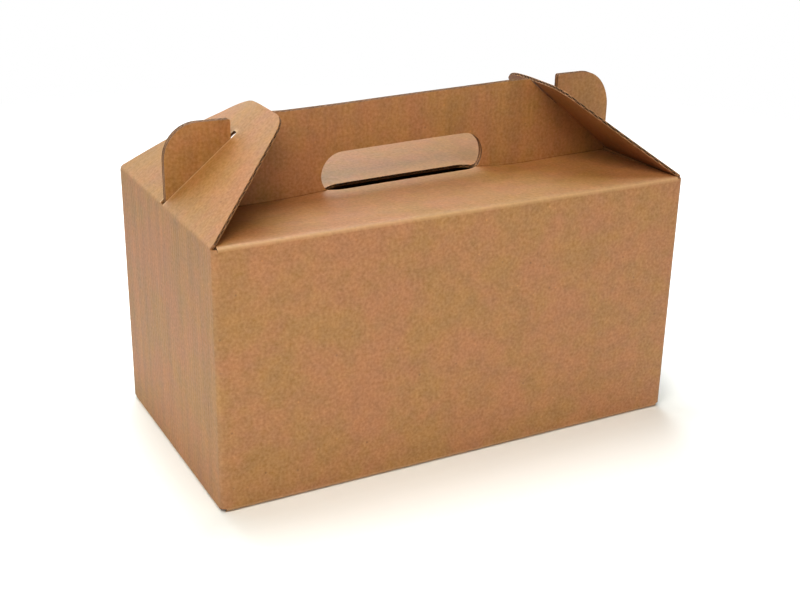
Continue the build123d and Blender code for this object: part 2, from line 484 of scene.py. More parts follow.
@dataclass
class SheetMesh:
    """Collects the papers of one piece of board and turns them into a mesh object."""

    name: str
    profile: Profile
    lie: Lie
    across_profile: bool = False
    warp: Optional[Warp] = None
    uv_shift: tuple[float, float] = (0.0, 0.0)
    fold_spread: float = 1.2
    fold_weight: float = 1.0
    row_step: float = 9.0
    column_step: float = 9.0
    extra_rows: tuple[float, ...] = ()
    extra_columns: tuple[float, ...] = ()
    # Pale lines and painted shade added to the fold attribute, from places on the flat blank.
    pale_and_shade: Optional[Callable[[Points], Points]] = None
    probe: float = 0.01
    undivided: float = 1e3
    sharp_angle: float = math.radians(50)

    def __post_init__(self) -> None:
        """Starts with no faces."""
        self.corners: list[Points] = []
        self.faces: list[list[int]] = []
        self.skins: list[int] = []
        self.blanks: list[Points] = []
        self.sides: list[Points] = []
        self.count = 0

    def place(self, across: Points, along: Points, depth: Points) -> Points:
        """Puts places of the flat blank where the fold takes them.

        Args:
            across: Places across the flutes.
            along: Places along the flutes.
            depth: Distances from the board's middle towards its outer face.

        Returns:
            Points in space.
        """
        bent, straight = (across, along) if self.across_profile else (along, across)
        spots, normals = self.profile.place(bent)
        spots = spots + normals * depth[:, None]
        made = np.zeros((len(across), 3))
        made[:, self.lie.value[0]] = spots[:, 0]
        made[:, self.lie.value[1]] = spots[:, 1]
        made[:, self.lie.value[2]] = straight
        return self.warp(made, across, along) if self.warp else made

    def _left_handed(self, across: float, along: float) -> bool:
        """Tells whether the flat outline comes out mirrored when seen from the outer face.

        Args:
            across: A place on the board, across the flutes.
            along: The same place, along the flutes.

        Returns:
            True where it is mirrored.
        """
        a = across + self.probe * np.array([0.0, 1.0, 0.0, 0.0])
        s = along + self.probe * np.array([0.0, 0.0, 1.0, 0.0])
        spots = self.place(a, s, self.probe * np.array([0.0, 0.0, 0.0, 1.0]))
        edges = spots[1:] - spots[0]
        return float(np.cross(edges[0], edges[1]) @ edges[2]) < 0

    def add(self, layer: Layer, loops: Sequence[Loop]) -> None:
        """Adds one paper of the board.

        Args:
            layer: Which paper.
            loops: Its outline and holes, across and along the flutes.
        """
        flat = np.concatenate([np.array(loop) for loop in loops])
        low = flat.min(axis=0)
        high = flat.max(axis=0)
        waved = layer is Layer.MEDIUM
        step = BOARD.pitch / BOARD.steps_per_flute if waved else self.column_step
        columns = [*np.arange(low[0], high[0], step), *self.extra_columns]
        rows = list(self.extra_rows)
        bends = self.profile.levels(self.undivided if waved else self.row_step)
        if self.across_profile:
            columns += bends
            rows += list(np.arange(low[1], high[1], self.row_step))
        else:
            rows += bends
        points, triangles, rim = Triangulator(loops, columns, rows).run()
        inner, outer = BOARD.span(layer, points[:, 0])
        tops = self.place(points[:, 0], points[:, 1], outer)
        bottoms = self.place(points[:, 0], points[:, 1], inner)
        if self._left_handed(*points[triangles[0]].mean(axis=0)):
            triangles = triangles[:, ::-1]
            rim = rim[:, ::-1]
        size = len(points)
        over = {Layer.INNER: Skin.MEDIUM, Layer.MEDIUM: Skin.MEDIUM}.get(layer, Skin.OUTER)
        under = {Layer.OUTER: Skin.MEDIUM, Layer.MEDIUM: Skin.MEDIUM}.get(layer, Skin.INNER)
        self._faces(triangles, over)
        self._faces(triangles[:, ::-1] + size, under)
        sides = np.stack([rim[:, 0] + size, rim[:, 1] + size, rim[:, 1], rim[:, 0]], axis=1)
        self._faces(sides, Skin.INNER if layer is Layer.CORE else Skin.EDGE)
        self.corners += [tops, bottoms]
        self.blanks += [points, points]
        self.sides += [np.ones(size), -np.ones(size)]
        self.count += 2 * size

    def _faces(self, faces: Points, skin: Skin) -> None:
        """Adds faces whose vertices are counted from the start of the paper being added."""
        self.faces.extend((faces + self.count).tolist())
        self.skins.extend([skin.value] * len(faces))

    def add_board(self, loops: Sequence[Loop]) -> None:
        """Adds two liners and the medium between them, all with the same outline and holes."""
        for layer in (Layer.OUTER, Layer.INNER, Layer.MEDIUM):
            self.add(layer, loops)

    def build(
        self, flute: Callable[[Points], Points], materials: Sequence[bpy.types.Material]
    ) -> bpy.types.Object:
        """Makes the mesh object.

        Args:
            flute: How far the flutes print through at places of the flat blank.
            materials: Materials in the order of the skins.

        Returns:
            The object, linked to the scene.
        """
        corners = np.concatenate(self.corners)
        blank = np.concatenate(self.blanks)
        bent = blank[:, 0] if self.across_profile else blank[:, 1]
        mesh = bpy.data.meshes.new(self.name)
        mesh.from_pydata((corners * MM).tolist(), [], self.faces)
        mesh.polygons.foreach_set("material_index", np.array(self.skins, np.int32))
        mesh.polygons.foreach_set("use_smooth", np.ones(len(self.faces), bool))
        uvs = (blank + np.array(self.uv_shift)) * MM
        owner = np.empty(len(mesh.loops), np.int32)
        mesh.loops.foreach_get("vertex_index", owner)
        mesh.uv_layers.new(name=UV_NAME).data.foreach_set("uv", uvs[owner].ravel())
        fold = np.concatenate(self.sides) * self.profile.fold(bent, self.fold_spread)
        fold = np.where(fold > 0, self.fold_weight * fold, fold)
        # The fold attribute also carries the pale lines and painted shade added by the callable.
        self._attribute(mesh, "fold", fold + self.pale_and_shade(blank) if self.pale_and_shade else fold)
        self._attribute(mesh, "flute", flute(blank))
        mesh.set_sharp_from_angle(angle=self.sharp_angle)
        for material in materials:
            mesh.materials.append(material)
        mesh.update()
        made = bpy.data.objects.new(self.name, mesh)
        bpy.context.scene.collection.objects.link(made)
        return made

    @staticmethod
    def _attribute(mesh: bpy.types.Mesh, name: str, values: Points) -> None:
        """Stores a number for each vertex, for the materials to read."""
        mesh.attributes.new(name, "FLOAT", "POINT").data.foreach_set("value", values.astype(np.float32))


@dataclass(frozen=True)
class Texture:
    """A cloudy noise: its scale per metre, its detail, its own place and the stretch of its axes."""

    scale: float
    detail: float
    shift: float = 0.0
    stretch: Optional[tuple[float, float, float]] = None


class Graph:
    """Adds nodes to the tree of one material or world."""

    noise_roughness: float = 0.55
    noise_middle: float = 0.5

    def __init__(self, owner: Any, output: str = "ShaderNodeOutputMaterial") -> None:
        """Starts from an empty tree with an output.

        Args:
            owner: The material or world.
            output: The type of its output node.
        """
        owner.use_nodes = True
        self.tree = owner.node_tree
        self.tree.nodes.clear()
        self.output = self.tree.nodes.new(output)

    def finish(self, shader: bpy.types.Node) -> None:
        """Links a shader to the output."""
        self.tree.links.new(shader.outputs[0], self.output.inputs[0])

    def add(self, kind: str, inputs: dict[Any, Any], **settings: Any) -> bpy.types.Node:
        """Adds a node.

        Args:
            kind: The node's type.
            inputs: Values or sockets for its inputs, by name or number.
            settings: Properties of the node.

        Returns:
            The node.
        """
        node = self.tree.nodes.new(kind)
        for name, value in settings.items():
            setattr(node, name, value)
        for name, value in inputs.items():
            if isinstance(value, bpy.types.NodeSocket):
                self.tree.links.new(value, node.inputs[name])
            else:
                node.inputs[name].default_value = value
        return node

    def math(self, operation: str, *values: Any) -> bpy.types.NodeSocket:
        """Adds a math node and gives its result."""
        return self.add("ShaderNodeMath", dict(enumerate(values)), operation=operation).outputs[0]

    def times(self, value: Any, factor: Any) -> bpy.types.NodeSocket:
        """Multiplies two values."""
        return self.math("MULTIPLY", value, factor)

    def vector(self, operation: str, inputs: dict[Any, Any]) -> bpy.types.NodeSocket:
        """Adds a vector math node and gives its result."""
        return self.add("ShaderNodeVectorMath", inputs, operation=operation).outputs[0]

    def noise(self, spots: Any, texture: Texture) -> bpy.types.NodeSocket:
        """Adds a noise texture, centred on zero.

        Args:
            spots: Places on the surface.
            texture: The noise.

        Returns:
            Its value.
        """
        if texture.stretch:
            spots = self.vector("MULTIPLY", {0: spots, 1: texture.stretch})
        inputs = {
            "Vector": self.vector("ADD", {0: spots, 1: (texture.shift,) * 3}),
            "Scale": texture.scale,
            "Detail": texture.detail,
            "Roughness": self.noise_roughness,
        }
        made = self.add("ShaderNodeTexNoise", inputs)
        return self.math("SUBTRACT", made.outputs[0], self.noise_middle)

    def mix(self, share: Any, low: Any, high: Any) -> bpy.types.NodeSocket:
        """Mixes two colours, through the sockets that the node keeps for colours."""
        return self.add("ShaderNodeMix", {0: share, 6: low, 7: high}, data_type="RGBA").outputs[2]

    def ramp(self, value: Any, low: float, high: float) -> bpy.types.NodeSocket:
        """Takes a value from between two limits to between 0 and 1, smoothly."""
        inputs = {"Value": value, "From Min": low, "From Max": high}
        return self.add("ShaderNodeMapRange", inputs, interpolation_type="SMOOTHSTEP").outputs[0]

    def total(self, *values: Any) -> bpy.types.NodeSocket:
        """Adds up values.

        Args:
            values: Two or more numbers or sockets.

        Returns:
            Their sum.
        """
        result = values[0]
        for value in values[1:]:
            result = self.math("ADD", result, value)
        return result


Colour = tuple[float, float, float, float]


def grey(level: float) -> Colour:
    """Opaque grey of a linear level."""
    return level, level, level, 1.0


def linear(red: int, green: int, blue: int) -> Colour:
    """Turns a screen colour into a linear one, by the standard curve of screens.

    Args:
        red: Its red, from 0 to 255.
        green: Its green.
        blue: Its blue.

    Returns:
        The opaque linear colour.
    """
    levels = [v / 255 for v in (red, green, blue)]
    made = [v / 12.92 if v <= 0.04045 else ((v + 0.055) / 1.055) ** 2.4 for v in levels]
    return made[0], made[1], made[2], 1.0


@dataclass(frozen=True)
class KraftFinish:
    """Unbleached paper: mottled, fibrous, specked, with the flutes showing faintly through."""

    name: str
    warm: Colour
    olive: Colour
    ridge_wear_highlight_colour: Colour
    broad_noise: Texture = Texture(24.0, 2.0)
    blotch_noise: Texture = Texture(70.0, 2.0, 3.1)
    blotch_share: float = 0.6
    tint_reach: float = 0.22
    grain_noise: Texture = Texture(560.0, 3.0, 1.7)
    fibre_noise: Texture = Texture(1.0, 2.0, 5.3, (260.0, 1500.0, 1.0))
    cloud_noise: Texture = Texture(110.0, 3.0, 7.9)
    patch_noise: Texture = Texture(30.0, 1.0, 11.3)
    patch_reach: float = 0.2
    streak_noise: Texture = Texture(1.0, 3.0, 2.2, (150.0, 7.0, 1.0))
    grain: float = 0.55
    grey_grain: float = 0.093
    fibre: float = 0.10
    cloud: float = 0.44
    flute_print: float = 0.018
    streak: float = 0.30
    heights: tuple[float, float, float, float] = (0.12, 0.20, 0.28, 0.35)
    ridge_power: float = 1.5
    # Fold ridges are paled towards the third colour: partly stretched, rubbed paper, partly a painted
    # highlight.
    ridge_wear_highlight: float = 0.55
    # Fold valleys are darkened towards a near-black colour: painted shade in the crease, partly the pressed
    # score line; the painted shade at the grip hole's foot comes the same way.
    valley_power: float = 2.0
    valley_shade: float = 0.75
    valley_shade_colour: Colour = (0.05, 0.016, 0.006, 1.0)
    fleck_scales: tuple[float, float] = (210.0, 260.0)
    fleck_shades: tuple[float, float] = (0.42, 1.5)
    fleck_share: float = 0.06
    fleck_edge: tuple[float, float] = (0.20, 0.07)
    fleck_strength: float = 0.55
    roughness: float = 0.55
    cloud_roughness: float = 0.2
    specular: float = 0.8
    relief: float = 1.0
    relief_depth: float = 0.00009

    def build(self) -> bpy.types.Material:
        """Makes the material.

        Returns:
            The material, which reads the flat blank's places and the fold and flute of each vertex.
        """
        material = bpy.data.materials.new(self.name)
        graph = Graph(material)
        spots = graph.add("ShaderNodeTexCoord", {}).outputs["Object"]
        blank = graph.add("ShaderNodeUVMap", {}, uv_map=UV_NAME).outputs[0]
        fold = graph.add("ShaderNodeAttribute", {}, attribute_name="fold").outputs["Fac"]
        flute = graph.add("ShaderNodeAttribute", {}, attribute_name="flute").outputs["Fac"]

        blotch = graph.times(graph.noise(spots, self.blotch_noise), self.blotch_share)
        mottle = graph.total(graph.noise(spots, self.broad_noise), blotch)
        share = graph.ramp(mottle, -self.tint_reach, self.tint_reach)
        tint = graph.mix(share, self.olive, self.warm)

        grain = graph.noise(spots, self.grain_noise)
        fibre = graph.noise(blank, self.fibre_noise)
        cloud = graph.noise(spots, self.cloud_noise)
        across = graph.add("ShaderNodeSeparateXYZ", {0: blank}).outputs[0]
        ripple = graph.math("SINE", graph.times(across, 2 * math.pi / (BOARD.pitch * MM)))
        patch = graph.ramp(graph.noise(spots, self.patch_noise), -self.patch_reach, self.patch_reach)
        wash = graph.times(graph.times(ripple, patch), flute)
        streak = graph.times(graph.noise(blank, self.streak_noise), flute)

        shades = (
            (grain, self.grain),
            (fibre, self.fibre),
            (cloud, self.cloud),
            (wash, self.flute_print),
            (streak, self.streak),
        )
        light = graph.total(1.0, *(graph.times(field, weight) for field, weight in shades))
        colour = graph.vector("SCALE", {0: tint, "Scale": light})
        colour = graph.vector("ADD", {0: colour, 1: graph.times(grain, self.grey_grain)})
        colour = self._specks(graph, spots, colour)
        # Paler on fold ridges (partly rubbed paper, partly a painted highlight), and beside the flap slots'
        # rims.
        ridge = graph.math("MAXIMUM", fold, 0.0)
        valley = graph.math("MAXIMUM", graph.times(fold, -1.0), 0.0)
        rubbed_and_highlit = graph.times(graph.math("POWER", ridge, self.ridge_power), self.ridge_wear_highlight)
        colour = graph.mix(rubbed_and_highlit, colour, self.ridge_wear_highlight_colour)
        # Painted shade in fold valleys, partly the darker score line; gloss is lowered there too.
        shade = graph.times(graph.math("POWER", valley, self.valley_power), self.valley_shade)
        colour = graph.mix(shade, colour, self.valley_shade_colour)

        forms = zip((grain, fibre, wash, streak), self.heights)
        height = graph.total(*(graph.times(field, weight) for field, weight in forms))
        inputs = {"Height": height, "Strength": self.relief, "Distance": self.relief_depth}
        bump = graph.add("ShaderNodeBump", inputs)
        rough = graph.math("ADD", self.roughness, graph.times(cloud, self.cloud_roughness))
        gloss = graph.times(graph.math("SUBTRACT", 1.0, valley), self.specular)
        inputs = {
            "Base Color": colour,
            "Roughness": rough,
            "Specular IOR Level": gloss,
            "Normal": bump.outputs[0],
        }
        graph.finish(graph.add("ShaderNodeBsdfPrincipled", inputs))
        return material

    def _specks(self, graph: Graph, spots: Any, colour: Any) -> bpy.types.NodeSocket:
        """Strews dark and pale flecks of fibre over the paper.

        Args:
            graph: The material's nodes.
            spots: Places on the surface.
            colour: The paper's colour without flecks.

        Returns:
            The colour with flecks.
        """
        for scale, shade in zip(self.fleck_scales, self.fleck_shades):
            cells = graph.add("ShaderNodeTexVoronoi", {"Vector": spots, "Scale": scale})
            chance = graph.add("ShaderNodeSeparateColor", {0: cells.outputs["Color"]}).outputs[0]
            chosen = graph.math("LESS_THAN", chance, self.fleck_share)
            near = graph.ramp(cells.outputs["Distance"], *self.fleck_edge)
            amount = graph.times(graph.times(chosen, near), self.fleck_strength)
            fleck = graph.vector("SCALE", {0: colour, "Scale": shade})
            colour = graph.mix(amount, colour, fleck)
        return colour


class Papers:
    """The materials of the board, made once and shared by its pieces."""

    def __init__(self) -> None:
        """Makes the four finishes in the order of the skins."""
        # The third colour of each finish is the pale of fold ridges: partly rubbed paper, partly a painted
        # highlight.
        outer = (linear(172, 112, 64), linear(165, 115, 54), linear(218, 178, 132))
        inner = (linear(153, 101, 59), linear(148, 103, 50), linear(186, 138, 92))
        # The medium is darker than the liners: partly its own duller tone, partly painted shade for the
        # flute gaps at cut edges and in the grip slit.
        medium = (linear(96, 60, 33), linear(90, 58, 31), linear(110, 70, 40))
        edge = (linear(172, 117, 70), linear(164, 114, 66), linear(176, 122, 76))
        finishes = (
            KraftFinish("kraft_outer", *outer),
            KraftFinish("kraft_inner", *inner),
            KraftFinish("kraft_medium", *medium, grey_grain=0.02, ridge_wear_highlight=0.2),
            KraftFinish("kraft_edge", *edge, relief=0.5),
        )
        self.skins = [finish.build() for finish in finishes]


@dataclass
class Walls:
    """Four walls in one strip, from the glue tab round three folds to the glued seam."""

    corner_radius: float = 2.0
    tab_width: float = 28.0
    tab_inset: float = 12.0
    tab_slant: float = 8.0
    seam_x: float = 147.0
    corner_rise: float = 1.3
    front_flute: float = 0.35
    end_flute: float = 1.9
    fold_spread: float = 1.4
    fold_weight: float = 0.25

    def build(self, papers: Papers) -> bpy.types.Object:
        """Makes the strip of walls.

        Args:
            papers: The board's materials.

        Returns:
            The strip.
        """
        x = BOX.middle(BOX.length)
        y = BOX.middle(BOX.width)
        tab_y = y - BOARD.thickness
        free_x = BOX.length / 2 - BOARD.thickness - self.corner_radius - self.tab_width
        path = [(free_x, tab_y), (x, tab_y), (x, -y), (-x, -y), (-x, y), (self.seam_x, y)]
        profile = Profile(path, [self.corner_radius] * 4, outer_left=True)
        turn = profile.arcs()[0].start
        low = BOX.wall_bottom
        high = BOX.wall_top
        loop = [
            (0.0, self.tab_inset + self.tab_slant),
            (0.0, BOX.height - self.tab_inset - self.tab_slant),
            (turn, BOX.height - self.tab_inset),
            (turn, high),
            *self._corner_tops(profile, high),
            (profile.length, high),
            (profile.length, low),
            (turn, low),
            (turn, self.tab_inset),
        ]
        sheet = SheetMesh(
            "walls",
            profile,
            Lie.PLAN,
            across_profile=True,
            fold_spread=self.fold_spread,
            fold_weight=self.fold_weight,
        )
        sheet.add(Layer.SOLID, [loop])
        return sheet.build(lambda blank: self._flute(blank, profile.arcs()), papers.skins)

    def _flute(self, blank: Points, corners: Sequence[Run]) -> Points:
        """Shows the flutes more on the two ends than on the long walls.

        Args:
            blank: Places on the flat strip.
            corners: The strip's folds.

        Returns:
            How far the flutes show at each place.
        """
        right = blank[:, 0] < corners[1].start
        left = (blank[:, 0] > corners[2].end) & (blank[:, 0] < corners[3].start)
        return np.where(right | left, self.end_flute, self.front_flute)

    def _corner_tops(self, profile: Profile, top: float) -> Loop:
        """Draws the strip's top at its three open folds, where the wall reaches up to the creases.

        Args:
            profile: The strip's bent line.
            top: Height of the walls beside the folds.

        Returns:
            The outline's points in order.
        """
        found: Loop = []
        for arc in profile.arcs()[1:]:
            rise = top + self.corner_rise
            found += [(arc.start, top), (arc.start, rise), (arc.end, rise), (arc.end, top)]
        return found


@dataclass
class Crown:
    """One roof panel with its handle panel and two ears, folded from the top of a long wall."""

    side: Side
    roof_half: float = 146.77
    ridge_y: float = 1.1
    ridge_z: float = 149.6
    handle_bottom: float = 151.179
    handle_half: float = 147.8
    handle_top: float = 202.5
    grip_x: float = 87.39
    ear_inner_x: float = 108.8
    notch_z: float = 185.16
    ear_top: float = 200.5
    ear_outer_radius: float = 20.0
    ear_inner_radius: float = 1.2
    hole_x: float = 0.6
    hole_z: float = 161.0
    hole_length: float = 109.0
    hole_height: float = 25.0
    hole_foot: float = 2.6
    # Painted shade on the cut rim at the foot of the grip hole, and how far it reaches.
    foot_shade: float = 1.1
    foot_rim: float = 0.5
    roof_flute: float = 0.3
    handle_flute: float = 1.4
    ridge_sag_x: tuple[float, ...] = (-147, -120, -90, -67, -49, 0, 50, 60, 72, 85, 100, 116, 147)
    ridge_sag_z: tuple[float, ...] = (
        *(-2.6, -3.2, -3.0, -2.0, -0.6, 0.6, 1.4),
        *(0.7, -0.2, -0.3, 0.2, 0.7, 1.2),
    )
    top_sag_x: tuple[float, ...] = (-147, -108, -75, -40, 0, 40, 70, 80, 87, 110, 147)
    top_sag_z: tuple[float, ...] = (-1.5, -1.9, -3.1, -2.4, -1.2, -0.2, 0.6, 0.8, 0.8, 0.2, 0.3)
    ear_stretch: float = 3.4
    roof_power: float = 1.4
    hole_round: float = 0.999
    blank_shift: tuple[float, float] = (37.0, 410.0)
    fold_spread: float = 0.5

    def build(self, papers: Papers) -> bpy.types.Object:
        """Makes the panel as a board of three papers.

        Args:
            papers: The board's materials.

        Returns:
            The panel.
        """
        y = self.side.value
        wall = BOX.middle(BOX.width)
        path = [
            (y * wall, BOX.wall_top),
            (y * wall, BOX.height - BOARD.thickness / 2),
            (y * self.ridge_y, self.ridge_z),
            (y * self.ridge_y, self.handle_top),
        ]
        profile = Profile(path, [BOX.fold_radius] * 2, outer_left=self.side is Side.LOW)
        foot = profile.arcs()[1].end
        ridge = profile.arcs()[1].start
        wall_fold = profile.arcs()[0].end

        def warp(spots: Points, across: Points, along: Points) -> Points:
            """Lets the ridge sink and rise along the box, as a roof of slack board does.

            Args:
                spots: Points of the straight panel in space.
                across: Their places along the box.
                along: Their places along the bent line.

            Returns:
                The moved points.
            """
            low_sag = np.interp(across, self.ridge_sag_x, self.ridge_sag_z)
            top_sag = np.interp(across, self.top_sag_x, self.top_sag_z)
            on_roof = np.clip((along - wall_fold) / (ridge - wall_fold), 0, 1) ** self.roof_power
            on_handle = np.clip((along - foot) / (self.handle_top - self.handle_bottom), 0, 1)
            on_ear = np.clip((along - at(self.notch_z)) / (self.ear_top - self.notch_z), 0, 1)
            stretch = self.ear_stretch * on_ear * (across >= self.ear_inner_x - BOARD.liner)
            moved = spots.copy()
            moved[:, 2] += on_roof * (low_sag + on_handle * (top_sag - low_sag)) + stretch
            return moved

        def at(height: float) -> float:
            """Place along the sheet of a height on the handle."""
            return foot + height - self.handle_bottom

        corners = [
            (self.grip_x, at(self.handle_top)),
            (self.ear_inner_x, at(self.notch_z)),
            (self.ear_inner_x, at(self.ear_top)),
            (self.handle_half, at(self.ear_top)),
            (self.handle_half, foot),
            (self.roof_half, ridge),
            (self.roof_half, 0.0),
        ]
        radii = [0.0, 0.0, self.ear_inner_radius, self.ear_outer_radius, 0.0, 0.0, 0.0]
        outline = rounded(mirrored(corners), radii + radii[::-1])
        half = self.hole_length / 2
        reach = self.hole_height / 2
        low = at(self.hole_z) - reach - self.hole_foot
        high = at(self.hole_z) + reach
        left = self.hole_x - half
        right = self.hole_x + half
        box = [(left, low), (right, low), (right, high), (left, high)]
        hole = rounded(box, [(high - low) / 2 * self.hole_round] * 4)
        name = "front_roof_and_handle" if self.side is Side.LOW else "rear_roof_and_handle"
        sheet = SheetMesh(
            name,
            profile,
            Lie.LONG,
            warp=warp,
            uv_shift=(self.blank_shift[0] * y, self.blank_shift[1]),
            fold_spread=self.fold_spread,
            extra_rows=(low - self.foot_rim,),
            # Painted shade on the rim at the hole's foot.
            pale_and_shade=lambda blank: self._foot(blank, low),
        )
        sheet.add_board([outline, hole])

        def flute(blank: Points) -> Points:
            """Shows the flutes more on the upright panel than on the roof."""
            share = np.clip((blank[:, 1] - ridge) / (foot - ridge), 0, 1)
            return self.roof_flute + share * (self.handle_flute - self.roof_flute)

        return sheet.build(flute, papers.skins)

    def _foot(self, blank: Points, low: float) -> Points:
        """Paints shade on the cut rim at the foot of the hole, which lies in a narrow slit.

        Args:
            blank: Places on the flat panel.
            low: Place of the hole's foot along the panel.

        Returns:
            What is added to the fold of each place.
        """
        inside = np.abs(blank[:, 0] - self.hole_x) < self.hole_length / 2
        near = np.clip(1 - np.abs(blank[:, 1] - low) / self.foot_rim, 0, 1)
        return -self.foot_shade * inside * near


@dataclass
class EndFold:
    """Crease between an end wall and its flap, drawn at rest and split down its middle."""

    side: Side
    radius: float = 2.1
    flap_length: float = 79.81

    def __post_init__(self) -> None:
        """Draws the bent line from the top of the wall to the flap's tip."""
        x = self.side.value
        half_turn = (math.pi / 2 - BOX.lean) / 2
        inset = BOARD.thickness / 2 * math.tan(half_turn)
        wall = BOX.middle(BOX.length)
        run = self.flap_length - inset
        corner = (x * wall, BOX.height - inset)
        tip = (corner[0] - x * run * math.cos(BOX.lean), corner[1] + run * math.sin(BOX.lean))
        path = [(x * wall, BOX.wall_top), corner, tip]
        self.profile = Profile(path, [self.radius], outer_left=self.side is Side.LOW)
        arc = self.profile.arcs()[0]
        self.split = (arc.start + arc.end) / 2
        self.flap_start = arc.end - inset - self.radius * math.tan(half_turn)

    def at(self, reach: float) -> float:
        """Place along the line of a distance up the flap, measured from the crease."""
        return self.flap_start + reach


@dataclass
class EndWallTop:
    """Top of an end wall, up to the middle of the crease."""

    side: Side
    half_width: float = 77.2
    flute_show: float = 0.7
    fold_weight: float = 0.3

    def build(self, papers: Papers) -> bpy.types.Object:
        """Makes the strip as pressed board.

        Args:
            papers: The board's materials.

        Returns:
            The strip.
        """
        fold = EndFold(self.side)
        w = self.half_width
        name = "left_wall_top" if self.side is Side.LOW else "right_wall_top"
        shift = (0.0, BOX.wall_top)
        sheet = SheetMesh(name, fold.profile, Lie.CROSS, uv_shift=shift, fold_weight=self.fold_weight)
        loop = [(-w, 0.0), (w, 0.0), (w, fold.split), (-w, fold.split)]
        sheet.add(Layer.SOLID, [loop])
        return sheet.build(lambda blank: np.full(len(blank), self.flute_show), papers.skins)


@dataclass
class EndFlap:
    """End flap: tapered, round-cornered and slotted for the ears of the handle."""

    side: Side
    crease_half: float = 79.2
    tip_half: float = 30.5
    front_radius: float = 19.0
    rear_radius: float = 28.0
    tip_trim: float = 1.3
    crease_chamfer: float = 1.6
    slot_length: float = 60.81
    slot_half: float = 2.35
    slot_taper: float = 5.0
    slot_tip_half: float = 1.3
    torn_length: float = 3.2
    torn_half: float = 1.9
    ear_reach: float = 54.5
    lip_width: float = 1.6
    # How much the board beside the slot's rim is lightened.
    lip_lightening: float = 1.25
    pressed: float = 2.0
    curl: float = 6.5
    lift: float = 0.0
    curl_from: tuple[float, float] = (2.0, 40.0)
    curl_powers: tuple[float, float] = (1.5, 3.0)
    lift_power: float = 2.0
    lip_end: float = 2.0
    row_step: float = 5.0
    column_step: float = 4.5
    flute_show: float = 0.3
    fold_weight: float = 0.3

    def build(self, papers: Papers) -> bpy.types.Object:
        """Makes the flap as a board of three papers, pressed shut at the crease.

        Args:
            papers: The board's materials.

        Returns:
            The flap.
        """
        fold = EndFold(self.side)
        start = fold.split
        tip = fold.at(fold.flap_length - self.tip_trim)
        inner = self.crease_half - self.crease_chamfer
        corners = [(self.tip_half, tip), (inner, start + self.crease_chamfer), (inner, start)]
        radii = [self.rear_radius, 0.0, 0.0, 0.0, 0.0, self.front_radius]
        outline = rounded(mirrored(corners), radii)
        end = fold.at(self.slot_length)
        slot = mirrored(
            [(self.slot_half, start), (self.slot_half, end - self.slot_taper), (self.slot_tip_half, end)]
        )
        ear = fold.at(self.ear_reach)
        torn = mirrored(
            [(self.slot_half, start), (self.slot_half, ear), (self.torn_half, end - self.torn_length)]
        )
        lips = (-self.slot_half - self.lip_width, self.slot_half + self.lip_width)
        rows = np.arange(start, tip, self.row_step)
        name = "left_flap_board" if self.side is Side.LOW else "right_flap_board"
        sheet = SheetMesh(
            name,
            fold.profile,
            Lie.CROSS,
            uv_shift=(0.0, BOX.wall_top),
            fold_weight=self.fold_weight,
            warp=lambda spots, across, along: self._curl(spots, across, along - fold.at(0.0)),
            column_step=self.column_step,
            extra_rows=tuple(rows),
            extra_columns=lips,
            # Lightens the board beside the slot's rim.
            pale_and_shade=lambda blank: self._lip(blank, end),
        )
        sheet.add(Layer.OUTER, [outline, torn])
        sheet.add(Layer.INNER, [outline, slot])
        sheet.add(Layer.MEDIUM, [outline, slot])
        top = start + self.pressed
        for y in (-1, 1):
            near = y * self.slot_half
            far = y * inner
            sheet.add(Layer.CORE, [[(near, start), (far, start), (far, top), (near, top)]])
        return sheet.build(lambda blank: np.full(len(blank), self.flute_show), papers.skins)

    def _curl(self, spots: Points, across: Points, reach: Points) -> Points:
        """Bends the rear corner of the tip down, and lifts the whole tip, as on a handled flap.

        Args:
            spots: Points of the flat flap in space.
            across: Their places across the box.
            reach: Their distances from the crease.

        Returns:
            The bent points.
        """
        inner, outer = self.curl_from
        side_power, reach_power = self.curl_powers
        rearward = np.clip((across - inner) / (outer - inner), 0, 1) ** side_power
        share = np.clip(reach / EndFold(self.side).flap_length, 0, 1)
        drop = self.curl * rearward * share**reach_power - self.lift * share**self.lift_power
        moved = spots.copy()
        moved[:, 0] -= self.side.value * drop * math.sin(BOX.lean)
        moved[:, 2] -= drop * math.cos(BOX.lean)
        return moved

    def _lip(self, blank: Points, end: float) -> Points:
        """Lightens the board along the rim of the slot, short of the slot's end.

        Args:
            blank: Places on the flat flap.
            end: Place of the slot's end along the flap.

        Returns:
            What is added to the fold of each place.
        """
        near = np.clip(1 - (np.abs(blank[:, 0]) - self.slot_half) / self.lip_width, 0, 1)
        return self.lip_lightening * near * (blank[:, 1] < end - self.lip_end)


